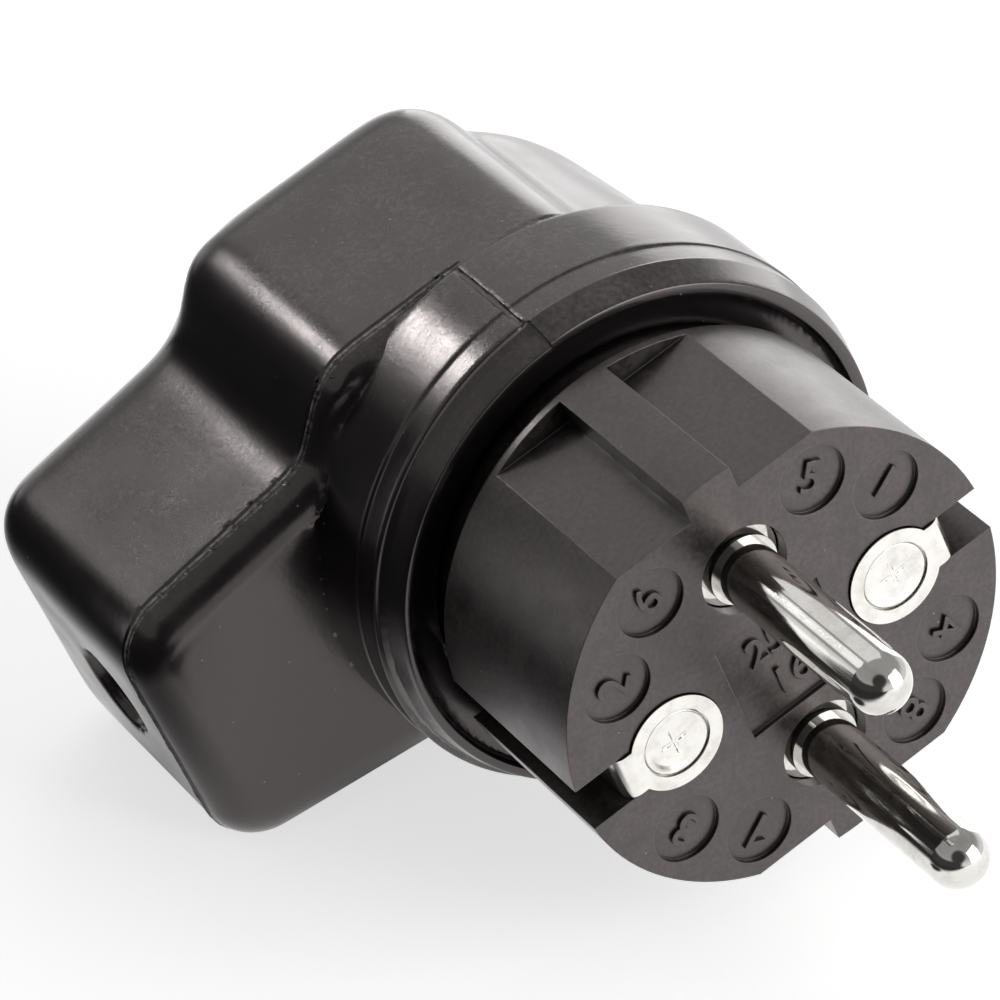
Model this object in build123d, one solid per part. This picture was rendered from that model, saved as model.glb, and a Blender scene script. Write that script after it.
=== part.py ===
from build123d import *
from math import acos, atan2, cos, degrees, hypot, radians, sin
import os

# Angled earthed plug: two round pins, side earth contacts, one-piece rubber hood.
# Everything is drawn in the plug's own axes and leaned at the end, as the plug lies on a table.
# Plug axes: X is the way the pins point, with the front face at X = 0; the cable leaves
# towards -Y; Z runs along the line of the two pins. Millimetres.

# Pins
pin_spacing = 19.0
pin_dia = 4.8
pin_length = 19.0
pin_collar_dia = 7.0
pin_collar_length = 2.0
pin_shoulder_dia = 5.6
pin_well_depth = 1.25
pin_tail_dia = 4.0
pin_tail_grip = 4.5

# Contact carrier, the moulded insert that fills the mouth of the hood
carrier_dia = 37.0
carrier_front_length = 16.8
carrier_wall = 2.6
front_wall = 6.0
flat_offset = 16.3
guide_rib_width = 4.2
flat_rim = 0.7
groove_depth = 1.7
groove_length = 5.9
flange_rise = 1.0
flange_length = 4.1
earth_rib_width = 6.0
earth_rib_set_in = 6.6

# Marking fields pressed into the front face
field_dia = 5.6
field_depth = 0.4
field_circle_dia = 29.0
field_angles = (32.3, 59.6)
plaque_side = 9.3

# Earth contacts
earth_eye_set_in = 5.1
earth_eye_dia = 7.8
earth_dish_dia = 5.6
earth_dish_depth = 0.45
earth_strip_width = 3.9
earth_strip_thickness = 0.8
earth_strip_proud = 0.2
earth_strip_set_in = 3.3
earth_strip_bend = 1.2
earth_tail_overhang = 2.6
earth_stud_dia = 3.0
earth_stud_length = 5.0
earth_stud_head_height = 0.35

# Terminals and fasteners
terminal_dia = 7.6
terminal_length = 10.0
wire_hole_dia = 3.0
terminal_screw_dia = 3.5
terminal_screw_reach = 2.2
bridge_thickness = 1.0
bridge_overhang = 2.4
bridge_width = 5.6
small_screw_dia = 2.6
small_screw_depth = 4.5
washer_dia = 7.0
washer_thickness = 1.0
screw_head_ratio = 1.75
screw_head_height = 1.6
slot_width = 0.7
slot_depth = 0.7

# Cord clamp on the carrier's tongue
cord_dia = 6.2
tongue_thickness = 3.0
tongue_side_gap = 0.6
tongue_end_gap = 1.2
tongue_root = 9.8
saddle_thickness = 1.6
clamp_screw_gap = 0.3
clamp_from_end = 3.2
clamp_bar_width = 5.0
clamp_bar_thickness = 2.2
clamp_bar_round = 1.5

# Rubber hood
mouth_gap = 2.1
mouth_wall = 0.7
mouth_depth = 1.2
hood_length = 36.7
collar_wall = 2.4
collar_length = 12.3
collar_edge = 0.5
lip_drop = 1.0
lip_step = 0.3
lip_length = 2.5
lip_shoulder = 0.5
nose_drop = 0.15
nose_length = 4.8
cup_drop = 1.9
cup_back_dia = 37.4
cup_round = 6.0
hump_half_height = 21.0
hump_base_half_height = 19.8
hump_half_width = 10.7
hump_round = 6.0
arm_root = 18.0
arm_root_half_height = 14.6
arm_root_round = 5.0
arm_end = 36.5
arm_end_half_height = 11.9
arm_end_round = 5.0
arm_depth = 26.7
hood_back_round = 5.0
hood_front_round = 3.3
hood_wall = 5.0
arm_end_wall = 6.0
pocket_reach = 10.0
cable_bore_dia = 6.6
cable_mouth_dia = 7.8
cable_mouth_depth = 1.2
cable_set_forward = 1.8

# Clearances
sliding_gap = 0.1
thread_gap = 0.05
screw_hole_gap = 0.2

# Stations along X, worked back from the front face
carrier_radius = carrier_dia / 2
flange_radius = carrier_radius + flange_rise
body_back = -carrier_front_length
groove_back = body_back - groove_length
flange_back = groove_back - flange_length
wall_back = -front_wall
collar_seat = -pin_well_depth - pin_collar_length
rib_back = flange_back + earth_rib_set_in
tail_back = rib_back - earth_strip_thickness
bridge_back = tail_back - bridge_thickness
mouth_front = body_back - mouth_gap
bead_front = mouth_front - mouth_depth
collar_front = mouth_front - nose_length
step_back = mouth_front - lip_length
collar_back = mouth_front - collar_length
hood_back = mouth_front - hood_length
arm_front = hood_back + arm_depth
cable_x = (hood_back + arm_front) / 2 + cable_set_forward
tongue_back = cable_x + cord_dia / 2
tongue_front = tongue_back + tongue_thickness
tongue_half = arm_end_half_height - hood_wall - tongue_side_gap
tongue_end = arm_end - arm_end_wall - tongue_end_gap
clamp_y = clamp_from_end - tongue_end
clamp_z = (cord_dia + small_screw_dia) / 2 + clamp_screw_gap
clamp_bar_front = cable_x - cord_dia / 2
clamp_bar_back = clamp_bar_front - clamp_bar_thickness
pin_z = pin_spacing / 2
groove_radius = carrier_radius - groove_depth
collar_radius = flange_radius + collar_wall
nose_radius = collar_radius - nose_drop
lip_radius = collar_radius - lip_drop
mouth_radius = lip_radius - lip_step - mouth_wall
cup_radius = collar_radius - cup_drop
well_radius = carrier_radius - carrier_wall - groove_depth


def rod(radius, front, back, y=0.0, z=0.0):
    # A round bar along X between two stations.
    low = (Align.CENTER, Align.CENTER, Align.MIN)
    return Pos(back, y, z) * Rot(0, 90, 0) * Cylinder(radius, front - back, align=low)


def block(front, back, y_low, y_high, z_low, z_high):
    middle = Pos((front + back) / 2, (y_low + y_high) / 2, (z_low + z_high) / 2)
    return middle * Box(front - back, y_high - y_low, z_high - z_low)


def cross_rod(radius, y_low, y_high, x, z=0.0):
    # A round bar along Y.
    return Pos(x, (y_low + y_high) / 2, z) * Rot(90, 0, 0) * Cylinder(radius, y_high - y_low)


def turned(outline):
    # A solid of revolution about X from (station, radius) points.
    return revolve(make_face(Polyline(*outline, close=True)), Axis.X)


def corner(shape, *points):
    # The vertices of a flat outline that lie at the given points.
    return [min(shape.vertices(), key=lambda v: hypot(v.X - x, v.Y - y)) for x, y in points]


def screw(dia, seat, reach, y=0.0, z=0.0):
    # A slotted cheese-head screw: head behind the seat, shank ahead of it.
    head = rod(dia * screw_head_ratio / 2, seat, seat - screw_head_height, y, z)
    back = seat - screw_head_height
    slot = block(back + slot_depth, back, y - dia, y + dia, z - slot_width / 2, z + slot_width / 2)
    return head - slot + rod(dia / 2, seat + reach, seat, y, z)


def contact_pin(z):
    tip = pin_length - pin_dia / 2
    shank = rod(pin_dia / 2, tip, 0, z=z) + Pos(tip, 0, z) * Sphere(pin_dia / 2)
    shoulder = rod(pin_shoulder_dia / 2, 0, -pin_well_depth, z=z)
    collar = rod(pin_collar_dia / 2, -pin_well_depth, collar_seat, z=z)
    tail = rod(pin_tail_dia / 2, collar_seat, wall_back - pin_tail_grip, z=z)
    return shank + shoulder + collar + tail


terminal_back = wall_back - terminal_length
wire_hole_x = wall_back - pin_tail_grip - wire_hole_dia / 2


def terminal(z):
    barrel = rod(terminal_dia / 2, wall_back, terminal_back, z=z)
    barrel -= rod(pin_tail_dia / 2 + thread_gap, wall_back, wall_back - pin_tail_grip - thread_gap, z=z)
    barrel -= rod(terminal_screw_dia / 2 + thread_gap, wire_hole_x, terminal_back, z=z)
    barrel -= cross_rod(wire_hole_dia / 2, -terminal_dia, terminal_dia, wire_hole_x, z)
    return barrel


strip_front = earth_strip_proud
strip_back = earth_strip_proud - earth_strip_thickness
strip_outer = carrier_radius - earth_strip_set_in
earth_y = strip_outer - earth_eye_set_in
strip_inner = strip_outer - earth_strip_thickness
strip_tail = earth_y - earth_tail_overhang


def earth_contact(side):
    # Eyelet on the face, strip bent down the side notch, tail turned in over the carrier's rib.
    outline = make_face(Polyline(
        (strip_front, earth_y),
        (strip_front, strip_outer),
        (tail_back, strip_outer),
        (tail_back, strip_tail),
        (rib_back, strip_tail),
        (rib_back, strip_inner),
        (strip_back, strip_inner),
        (strip_back, earth_y),
        close=True,
    ))
    outer = corner(outline, (strip_front, strip_outer), (tail_back, strip_outer))
    outline = fillet(outer, earth_strip_bend)
    inner = corner(outline, (strip_back, strip_inner), (rib_back, strip_inner))
    outline = fillet(inner, earth_strip_bend - earth_strip_thickness)
    strip = extrude(outline, earth_strip_width / 2, both=True)
    strip += rod(earth_eye_dia / 2, strip_front, strip_back, earth_y)
    strip -= rod(earth_dish_dia / 2, strip_front, strip_front - earth_dish_depth, earth_y)
    strip -= rod(earth_stud_dia / 2 + sliding_gap, strip_front, strip_back, earth_y)
    strip -= rod(small_screw_dia / 2 + screw_hole_gap, rib_back, tail_back, earth_y)
    return Rot(0 if side > 0 else 180, 0, 0) * strip


def earth_stud(side):
    seat = strip_front - earth_dish_depth
    head = rod(earth_dish_dia / 2 - sliding_gap, seat + earth_stud_head_height, seat, side * earth_y)
    return head + rod(earth_stud_dia / 2, seat, seat - earth_stud_length, side * earth_y)


def earth_bridge():
    half = earth_y + bridge_overhang
    bar = block(tail_back, bridge_back, -half, half, -bridge_width / 2, bridge_width / 2)
    bar = fillet(bar.edges().filter_by(Axis.X), bridge_width / 2 - sliding_gap)
    for y in (-earth_y, 0, earth_y):
        bar -= rod(small_screw_dia / 2 + screw_hole_gap, tail_back, bridge_back, y)
    return bar


def contact_carrier():
    body = turned([
        (0, 0),
        (0, carrier_radius),
        (body_back, carrier_radius),
        (body_back, groove_radius),
        (groove_back, groove_radius),
        (groove_back, flange_radius),
        (flange_back, flange_radius),
        (flange_back, 0),
    ])
    well = rod(well_radius, wall_back, flange_back)
    half_rib = earth_rib_width / 2
    rib = block(wall_back, rib_back, -well_radius, well_radius, -half_rib, half_rib)
    body = body - well + (rib & well)

    # Flats over and under the pins, each split by a guide rib
    for side in (1, -1):
        for half in (1, -1):
            y_low, y_high = sorted((half * guide_rib_width / 2, half * carrier_dia))
            z_low, z_high = sorted((side * flat_offset, side * carrier_dia))
            body -= block(0, body_back + flat_rim, y_low, y_high, z_low, z_high)

    # Pin wells, pin tails and the round pockets of the terminals
    for z in (pin_z, -pin_z):
        body -= rod(pin_collar_dia / 2 + sliding_gap, 0, collar_seat, z=z)
        body -= rod(pin_tail_dia / 2 + sliding_gap, 0, wall_back, z=z)
        body -= rod(terminal_dia / 2 + sliding_gap, wall_back, flange_back, z=z)

    # Earth notches down the sides, eyelet seats on the face and slots for the strip tails
    half_strip = earth_strip_width / 2 + sliding_gap
    small_thread = small_screw_dia / 2 + thread_gap
    for side in (1, -1):
        near, far = sorted((side * strip_inner, side * carrier_dia))
        body -= block(0, tail_back - sliding_gap, near, far, -half_strip, half_strip)
        near, far = sorted((side * earth_y, side * carrier_dia))
        body -= block(0, strip_back, near, far, -half_strip, half_strip)
        body -= rod(earth_eye_dia / 2 + sliding_gap, 0, strip_back, side * earth_y)
        body -= rod(earth_stud_dia / 2 + thread_gap, 0, strip_back - earth_stud_length, side * earth_y)
        near, far = sorted((side * (strip_tail), side * strip_outer))
        body -= block(rib_back, tail_back - sliding_gap, near, far, -half_strip, half_strip)
        body -= rod(small_thread, rib_back + small_screw_depth, rib_back, side * earth_y)
        body -= earth_contact(side)
    body -= rod(small_thread, rib_back + small_screw_depth, rib_back)

    # Shallow marking fields: four pairs of round ones and a square one in the middle
    for angle in field_angles:
        for turn in (angle, 180 - angle, 180 + angle, 360 - angle):
            y = field_circle_dia / 2 * cos(radians(turn))
            z = field_circle_dia / 2 * sin(radians(turn))
            body -= rod(field_dia / 2, 0, -field_depth, y, z)
    half_plaque = plaque_side / 2
    body -= block(0, -field_depth, -half_plaque, half_plaque, -half_plaque, half_plaque)

    # Tongue under the cord, carried on a curved saddle behind the flange
    saddle = rod(well_radius + saddle_thickness, flange_back, tongue_front)
    saddle -= rod(well_radius, flange_back, tongue_front)
    body += saddle & block(flange_back, tongue_front, -carrier_radius, 0, -tongue_half, tongue_half)
    body += block(tongue_front, tongue_back, -tongue_end, -tongue_root, -tongue_half, tongue_half)
    for z in (clamp_z, -clamp_z):
        body -= rod(small_thread, tongue_front, tongue_back, clamp_y, z)
    return body


def cord_clamp_bar():
    half_width = clamp_bar_width / 2
    near, far = clamp_y - half_width, clamp_y + half_width
    bar = block(clamp_bar_front, clamp_bar_back, near, far, -tongue_half, tongue_half)
    bar = fillet(bar.edges().filter_by(Axis.X), clamp_bar_round)
    for z in (clamp_z, -clamp_z):
        bar -= rod(small_screw_dia / 2 + screw_hole_gap, clamp_bar_front, clamp_bar_back, clamp_y, z)
    return bar


def cord_clamp_screw(side):
    return screw(small_screw_dia, clamp_bar_back, tongue_front - clamp_bar_back, clamp_y, side * clamp_z)


def hood_profile():
    # Outline of hump and arm seen along the pins. The hump is shallower underneath, so that the
    # plug lies on its collar.
    upper = [
        (hump_half_width, hump_half_height),
        (-hump_half_width, hump_half_height),
        (-arm_root, arm_root_half_height),
        (-arm_end, arm_end_half_height),
    ]
    lower = [(y, -min(z, hump_base_half_height)) for y, z in reversed(upper)]
    rounds = [hump_round, hump_round, arm_root_round, arm_end_round]
    outline = FilletPolyline(*upper, *lower, radius=rounds + rounds[::-1], close=True)
    return make_face(outline)


def hood():
    hump = Pos(hood_back, 0, 0) * extrude(Plane.YZ * hood_profile(), arm_depth)
    hump = fillet(hump.faces().sort_by(Axis.X)[0].edges(), hood_back_round)
    hump = fillet(hump.faces().sort_by(Axis.X)[-1].edges(), hood_front_round)

    cup = make_face(Polyline(
        (hood_back, 0),
        (hood_back, cup_back_dia / 2),
        (collar_back, cup_radius),
        (collar_back, collar_radius),
        (collar_front, collar_radius),
        (collar_front, nose_radius),
        (step_back, nose_radius),
        (mouth_front, lip_radius),
        (mouth_front, 0),
        close=True,
    ))
    cup = fillet(corner(cup, (hood_back, cup_back_dia / 2)), cup_round)
    cup = chamfer(corner(cup, (collar_back, collar_radius)), collar_edge)
    body = revolve(cup, Axis.X) + hump

    # The lip is stepped down on the cable side of the parting line
    step = turned([
        (mouth_front, lip_radius - lip_step),
        (mouth_front, collar_radius),
        (step_back, collar_radius),
        (step_back, nose_radius - lip_shoulder),
    ])
    body -= step & block(mouth_front, step_back, -collar_radius, 0, -collar_radius, collar_radius)

    # Mouth recess, bead that grips the carrier's groove, flange seat and room behind the carrier
    room_back = arm_front - hood_wall
    body -= turned([
        (mouth_front, 0),
        (mouth_front, mouth_radius),
        (bead_front, mouth_radius),
        (bead_front, groove_radius + sliding_gap),
        (groove_back, groove_radius + sliding_gap),
        (groove_back, flange_radius + sliding_gap),
        (flange_back, flange_radius + sliding_gap),
        (flange_back, groove_radius + sliding_gap),
        (room_back, groove_radius + sliding_gap),
        (room_back, 0),
    ])

    # Flat wiring pocket from the far side of the cup to the end of the arm, and the cable's way out
    root_half = arm_root_half_height - hood_wall
    end_half = arm_end_half_height - hood_wall
    end = -arm_end + arm_end_wall
    upper = [(pocket_reach, root_half), (0, root_half), (end, end_half)]
    lower = [(y, -z) for y, z in reversed(upper)]
    pocket = make_face(Polyline(*upper, *lower, close=True))
    body -= Pos(hood_back + hood_wall, 0, 0) * extrude(Plane.YZ * pocket, arm_depth - 2 * hood_wall)
    body -= cross_rod(cable_bore_dia / 2, -arm_end, end, cable_x)
    body -= cross_rod(cable_mouth_dia / 2, -arm_end, -arm_end + cable_mouth_depth, cable_x)
    return body


def lean():
    # Angle at which the collar and the lower corner of the arm touch one flat surface.
    taper = atan2(arm_root_half_height - arm_end_half_height, arm_end - arm_root)
    centre_z = arm_end_half_height - arm_end_round * (1 - sin(taper)) / cos(taper)
    centre_y = arm_end - arm_end_round
    reach = acos((collar_radius - arm_end_round) / hypot(centre_y, centre_z))
    return degrees(atan2(centre_y, centre_z) - reach)


pieces = {
    "housing": hood(),
    "contact_carrier": contact_carrier(),
    "upper_pin": contact_pin(pin_z),
    "lower_pin": contact_pin(-pin_z),
    "upper_terminal": terminal(pin_z),
    "lower_terminal": terminal(-pin_z),
    "upper_terminal_screw": screw(terminal_screw_dia, terminal_back, terminal_screw_reach, z=pin_z),
    "lower_terminal_screw": screw(terminal_screw_dia, terminal_back, terminal_screw_reach, z=-pin_z),
    "far_earth_contact": earth_contact(1),
    "cable_side_earth_contact": earth_contact(-1),
    "far_earth_stud": earth_stud(1),
    "cable_side_earth_stud": earth_stud(-1),
    "earth_bridge": earth_bridge(),
    "far_bridge_screw": screw(small_screw_dia, bridge_back, small_screw_depth, earth_y),
    "cable_side_bridge_screw": screw(small_screw_dia, bridge_back, small_screw_depth, -earth_y),
    "earth_washer": rod(washer_dia / 2, bridge_back, bridge_back - washer_thickness)
    - rod(small_screw_dia / 2 + screw_hole_gap, bridge_back, bridge_back - washer_thickness),
    "earth_terminal_screw": screw(small_screw_dia, bridge_back - washer_thickness, small_screw_depth),
    "cord_clamp_bar": cord_clamp_bar(),
    "upper_clamp_screw": cord_clamp_screw(1),
    "lower_clamp_screw": cord_clamp_screw(-1),
}

os.makedirs("parts", exist_ok=True)
lean_angle = lean()
print("lean", round(lean_angle, 3), "degrees")
for name, piece in pieces.items():
    export_step(Rot(lean_angle, 0, 0) * piece, f"parts/{name}.step")
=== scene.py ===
import math

import bmesh
import bpy
import numpy as np
from mathutils import Matrix, Quaternion, Vector, noise


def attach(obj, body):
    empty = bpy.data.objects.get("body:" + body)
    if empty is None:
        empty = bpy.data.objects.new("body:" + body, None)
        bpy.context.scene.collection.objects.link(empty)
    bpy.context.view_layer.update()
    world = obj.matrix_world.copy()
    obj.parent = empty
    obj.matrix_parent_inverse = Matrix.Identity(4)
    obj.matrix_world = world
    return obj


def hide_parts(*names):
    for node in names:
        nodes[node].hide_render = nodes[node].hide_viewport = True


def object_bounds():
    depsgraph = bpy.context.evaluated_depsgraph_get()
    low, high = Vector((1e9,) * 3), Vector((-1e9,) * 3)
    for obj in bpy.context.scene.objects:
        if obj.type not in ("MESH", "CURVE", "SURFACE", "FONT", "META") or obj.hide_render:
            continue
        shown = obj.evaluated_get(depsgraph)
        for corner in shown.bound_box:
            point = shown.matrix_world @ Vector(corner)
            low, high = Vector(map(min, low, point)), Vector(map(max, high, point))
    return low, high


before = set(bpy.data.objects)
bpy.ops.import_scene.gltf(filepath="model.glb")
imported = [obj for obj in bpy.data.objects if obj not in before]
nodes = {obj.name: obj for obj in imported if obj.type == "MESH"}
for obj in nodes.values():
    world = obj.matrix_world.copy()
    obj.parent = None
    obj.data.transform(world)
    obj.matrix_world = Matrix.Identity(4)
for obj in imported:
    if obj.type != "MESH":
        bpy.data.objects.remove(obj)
cadLow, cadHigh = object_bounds()
mm = 0.001
lean = math.radians(17.917)  # the plug lies over towards its cable side
leanTurn = Matrix.Rotation(lean, 4, "X")
plugToFrame = leanTurn @ Matrix.Scale(mm, 4)  # from millimetres, square to the plug
print("frame loaded:", len(nodes), "nodes")


def hexColour(code):
    parts = [int(code[i:i + 2], 16) / 255 for i in (1, 3, 5)]
    linear = [c / 12.92 if c <= 0.04045 else ((c + 0.055) / 1.055) ** 2.4 for c in parts]
    return (*linear, 1.0)


def addNode(tree, kind, settings=None, inputs=None):
    node = tree.nodes.new(kind)
    for name, value in (settings or {}).items():
        setattr(node, name, value)
    for socket, value in (inputs or {}).items():
        if isinstance(value, bpy.types.NodeSocket):
            tree.links.new(value, node.inputs[socket])
        else:
            node.inputs[socket].default_value = value
    return node


# Node settings that come up often. A colour mix takes its share at socket 0 and its colours
# at 6 and 7, and gives the mixed colour at 2
eased = {"interpolation_type": "SMOOTHSTEP"}
times = {"operation": "MULTIPLY"}
timesPlus = {"operation": "MULTIPLY_ADD"}
larger = {"operation": "MAXIMUM"}
dotProduct = {"operation": "DOT_PRODUCT"}
colourMix = {"data_type": "RGBA"}


def startMaterial(name):
    material = bpy.data.materials.new(name)
    material.use_nodes = True
    tree = material.node_tree
    shader = next(n for n in tree.nodes if n.type == "BSDF_PRINCIPLED")
    place = addNode(tree, "ShaderNodeTexCoord").outputs["Object"]
    return material, tree, shader, place


def perMm(size):
    return 1000.0 / size  # pattern scale for a feature this many millimetres across


def addSpecks(tree, place, spacing, size):
    # Lint: one small round speck somewhere in each cell, seen only where the skin cuts it
    cells = addNode(tree, "ShaderNodeTexVoronoi", None, {"Vector": place, "Scale": perMm(spacing)})
    return addNode(tree, "ShaderNodeMapRange", eased, {
        "Value": cells.outputs["Distance"], "From Min": size / spacing,
        "From Max": 0.5 * size / spacing}).outputs[0]


# Moulded natural rubber, old and handled: near black and glossy enough to mirror the room in
# soft patches, paler on what faces up, partly a bloom of dust and partly painted top light, lint
# specks and short fine scratches
rubberLook = {
    "black": "#121011",
    "worn": "#1c1919",
    "dustAndPaintedTopLight": "#65605d",
    "speck": "#8f8a87",
    "paleMark": "#cbc7c4",
    "shine": "#fff3f2",
    "patchMm": 9.0,
    "gritMm": 0.5,  # grit, grain and scratches are drawn coarser than real ones, to show
    "grainMm": 0.5,
    "sheenMm": 5.0,
    "scratchMm": (0.25, 9.0),
    "scratchPale": 0.15,
    "scratchDeep": -0.25,
    "speckMm": (2.4, 0.13),
    "roughness": (0.19, 0.27),
    "ior": 1.7,
    "bump": 0.11,
    "bumpMm": 0.08,
}


def makeRubber():
    look = rubberLook
    material, tree, shader, place = startMaterial("mouldedBlackRubber")
    patches = addNode(tree, "ShaderNodeTexNoise", None, {
        "Vector": place, "Scale": perMm(look["patchMm"]), "Detail": 6.0, "Roughness": 0.62})
    grits = addNode(tree, "ShaderNodeTexNoise", None, {
        "Vector": place, "Scale": perMm(look["gritMm"]), "Detail": 3.0, "Roughness": 0.6})
    thin, long = look["scratchMm"]
    turned = addNode(tree, "ShaderNodeMapping", None, {
        "Vector": place, "Rotation": (0.5, 0.9, 0.7),
        "Scale": (perMm(thin), perMm(long), perMm(long))})
    streaks = addNode(tree, "ShaderNodeTexNoise", None, {
        "Vector": turned.outputs[0], "Scale": 1.0, "Detail": 2.0})
    scratches = addNode(tree, "ShaderNodeMapRange", eased, {
        "Value": streaks.outputs[0], "From Min": 0.68, "From Max": 0.76})
    specks = addSpecks(tree, place, *look["speckMm"])
    normal = addNode(tree, "ShaderNodeNewGeometry").outputs["Normal"]
    facing = addNode(tree, "ShaderNodeSeparateXYZ", None, {0: normal}).outputs[2]
    # What faces up is made paler: partly dust, partly painted top light
    upward = addNode(tree, "ShaderNodeMapRange", eased, {
        "Value": facing, "From Min": 0.45, "From Max": 0.95, "To Min": 0.0, "To Max": 0.75})
    paleTopPatches = addNode(tree, "ShaderNodeMapRange", None, {
        "Value": patches.outputs[0], "From Min": 0.30, "From Max": 0.68})
    grit = addNode(tree, "ShaderNodeMapRange", None, {
        "Value": grits.outputs[0], "From Min": 0.35, "From Max": 0.68,
        "To Min": 0.15, "To Max": 1.0})
    dustedAndLitTop = addNode(tree, "ShaderNodeMath", times, {
        0: upward.outputs[0], 1: paleTopPatches.outputs[0]})
    dustedAndLitTop = addNode(tree, "ShaderNodeMath", times, {
        0: dustedAndLitTop.outputs[0], 1: grit.outputs[0]})
    # Scratches and the paler tops, which are partly dust and partly painted top light, share one
    # mix
    scuffed = addNode(tree, "ShaderNodeMath", timesPlus, {
        0: scratches.outputs[0], 1: look["scratchPale"], 2: dustedAndLitTop.outputs[0]})
    body = addNode(tree, "ShaderNodeMix", colourMix, {
        0: grits.outputs[0], 6: hexColour(look["black"]), 7: hexColour(look["worn"])})
    colour = addNode(tree, "ShaderNodeMix", colourMix, {
        0: scuffed.outputs[0], 6: body.outputs[2], 7: hexColour(look["dustAndPaintedTopLight"])})
    colour = addNode(tree, "ShaderNodeMix", colourMix, {
        0: specks, 6: colour.outputs[2], 7: hexColour(look["speck"])})
    # Flash and lip are rubbed pale in broken lines, as the hood's points say
    handled = addNode(tree, "ShaderNodeAttribute", {"attribute_name": "paleMark"}).outputs["Fac"]
    paleMark = addNode(tree, "ShaderNodeMapRange", None, {
        "Value": grits.outputs[0], "From Min": 0.35, "From Max": 0.65})
    paleMark = addNode(tree, "ShaderNodeMath", times, {
        0: paleMark.outputs[0], 1: handled})
    colour = addNode(tree, "ShaderNodeMix", colourMix, {
        0: paleMark.outputs[0], 6: colour.outputs[2], 7: hexColour(look["paleMark"])})
    smooth, dull = look["roughness"]
    sheen = addNode(tree, "ShaderNodeTexNoise", None, {
        "Vector": place, "Scale": perMm(look["sheenMm"]), "Detail": 1.0})
    gloss = addNode(tree, "ShaderNodeMapRange", None, {
        "Value": sheen.outputs[0], "From Min": 0.3, "From Max": 0.7,
        "To Min": smooth, "To Max": dull})
    grain = addNode(tree, "ShaderNodeTexNoise", None, {
        "Vector": place, "Scale": perMm(look["grainMm"]), "Detail": 3.0})
    height = addNode(tree, "ShaderNodeMath", timesPlus, {
        0: scratches.outputs[0], 1: look["scratchDeep"], 2: grain.outputs[0]})
    bump = addNode(tree, "ShaderNodeBump", None, {
        "Height": height.outputs[0], "Strength": look["bump"],
        "Distance": look["bumpMm"] * mm})
    tree.links.new(colour.outputs[2], shader.inputs["Base Color"])
    tree.links.new(gloss.outputs[0], shader.inputs["Roughness"])
    tree.links.new(bump.outputs[0], shader.inputs["Normal"])
    shader.inputs["IOR"].default_value = look["ior"]
    shader.inputs["Specular Tint"].default_value = hexColour(look["shine"])
    return material


# Pressed thermoset, filled and unpolished: dark grey with a faint mottle, satin, edges a little
# rounded from the mould and pale, partly rubbed and partly a painted highlight, painted shade in
# the corners
thermosetLook = {
    "grey": "#211e1d",
    "mottle": "#433f3d",
    "shine": "#fff3f2",
    "edgeWearAndHighlight": "#8a8583",
    "paintedShade": "#161414",
    "speck": "#9a9693",
    "mottleMm": 2.4,
    "fillerMm": 0.4,  # coarser than the real filler, to show
    "edgeMm": 0.12,
    "paintedShadeMm": 0.9,
    "speckMm": (3.0, 0.11),
    "roughness": (0.28, 0.38),
    "ior": 1.7,
    "bump": 0.12,
    "bumpMm": 0.05,
}


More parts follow.
